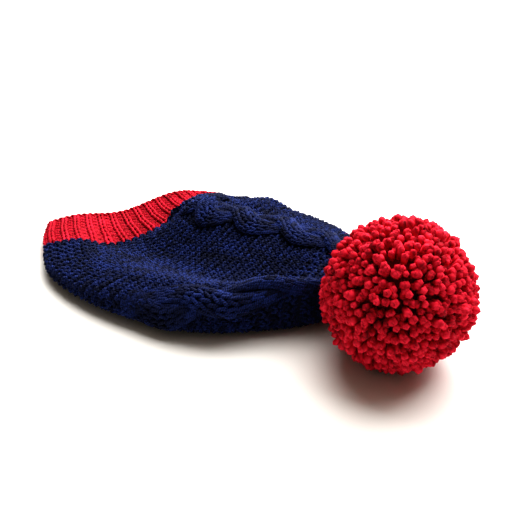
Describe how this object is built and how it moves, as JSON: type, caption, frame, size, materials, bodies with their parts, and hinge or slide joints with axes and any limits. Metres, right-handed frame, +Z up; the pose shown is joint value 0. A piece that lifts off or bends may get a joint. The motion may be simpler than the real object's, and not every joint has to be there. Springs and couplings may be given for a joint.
{
  "type": "knitted beanie with pompom",
  "caption": "Slouchy hand-knitted beanie lying flat on its side, with a ribbed band, a cabled crown gathered at its end and a yarn pompom.",
  "frame": {"origin": "on the surface that the hat lies on, below the middle of its bounding box", "axes": "+X from the brim to the pompom, +Y towards the fold that is farther from the front cable, +Z up from the surface"},
  "size_m": [0.3796, 0.2153, 0.0977],
  "materials": {
    "rib_band": "red wool in knit 1, purl 1 rib",
    "crown": "navy wool, purl side out with cables",
    "pompom": "cut red wool yarn",
    "pompom_tie": "red wool yarn"
  },
  "bodies": {
    "root": {"rib_band": "rib_band", "crown": "crown", "pompom": "pompom", "pompom_tie": "pompom_tie"}
  },
  "joints": []
}
